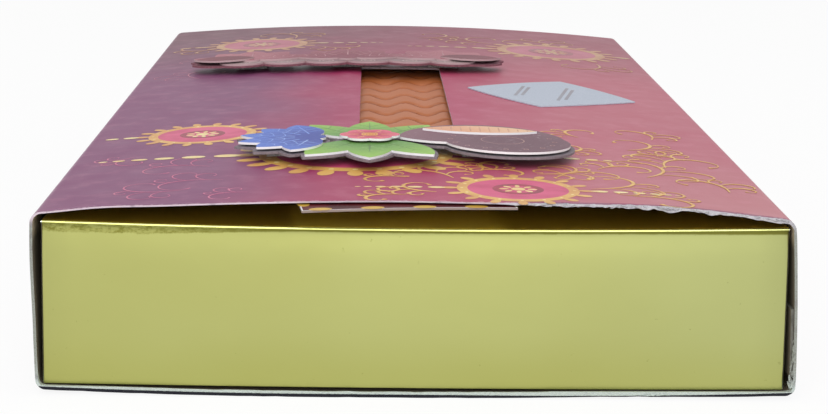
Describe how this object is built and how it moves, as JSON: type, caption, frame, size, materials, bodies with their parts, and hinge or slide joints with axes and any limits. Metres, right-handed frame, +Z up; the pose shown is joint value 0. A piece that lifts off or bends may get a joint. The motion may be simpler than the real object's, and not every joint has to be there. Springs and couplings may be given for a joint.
{
  "type": "sweet box",
  "caption": "Sleeve-and-tray sweet box: crowned printed board sleeve with a window, sliding gold tray with a padded sheet, die-cut toppers and a tucked insert card.",
  "frame": {"origin": "centre of the flat middle of the sleeve's base, where the box rests", "axes": "+X across the box, +Y along it away from the near open end, +Z up through the crowned top panel"},
  "size_m": [0.1526, 0.3105, 0.0445],
  "materials": {
    "printed_board": "pink and purple print on grey-white duplex board, satin varnish",
    "gold_board": "metallised pale gold, smooth and semi-gloss",
    "copper_pad": "copper-coloured embossed padded paper",
    "plain_card": "uncoated off-white card",
    "maroon_card": "maroon print with a white border",
    "foam": "white closed-cell foam",
    "backing_card": "pale uncoated card edge and face",
    "leaf_green": "printed green card",
    "petal_blue": "printed blue card",
    "plum_card": "printed plum card",
    "cream_card": "printed cream card",
    "blossom_pink": "printed pink card",
    "rose_card": "printed dusty rose card",
    "ribbon_card": "printed maroon card",
    "bud_card": "printed grey-cream card",
    "label_paper": "pale grey-blue satin paper"
  },
  "bodies": {
    "sleeve": {"sleeve": "printed_board", "near_foam_pads": "foam", "near_backing": "backing_card", "near_leaves": "leaf_green", "near_petals": "petal_blue", "near_paisley": "plum_card", "near_crescent": "cream_card", "near_blossom": "blossom_pink", "far_foam_pads": "foam", "far_backing": "backing_card", "far_ribbon": "ribbon_card", "far_petals": "rose_card", "far_buds": "bud_card", "top_label": "label_paper"},
    "tray": {"tray": "gold_board", "cushion_pad": "copper_pad", "divider_long": "plain_card", "divider_cross_1": "plain_card", "divider_cross_2": "plain_card", "divider_cross_3": "plain_card"},
    "card": {"insert_card": "maroon_card"}
  },
  "joints": [
    {"name": "tray_slide", "type": "slide", "parent": "sleeve", "child": "tray", "axis": [0, -1, 0], "range_m": [-0.3, 0.3]},
    {"name": "card_slide", "type": "slide", "parent": "sleeve", "child": "card", "axis": [0, -1, 0], "range_m": [-0.005, 0.06]}
  ]
}
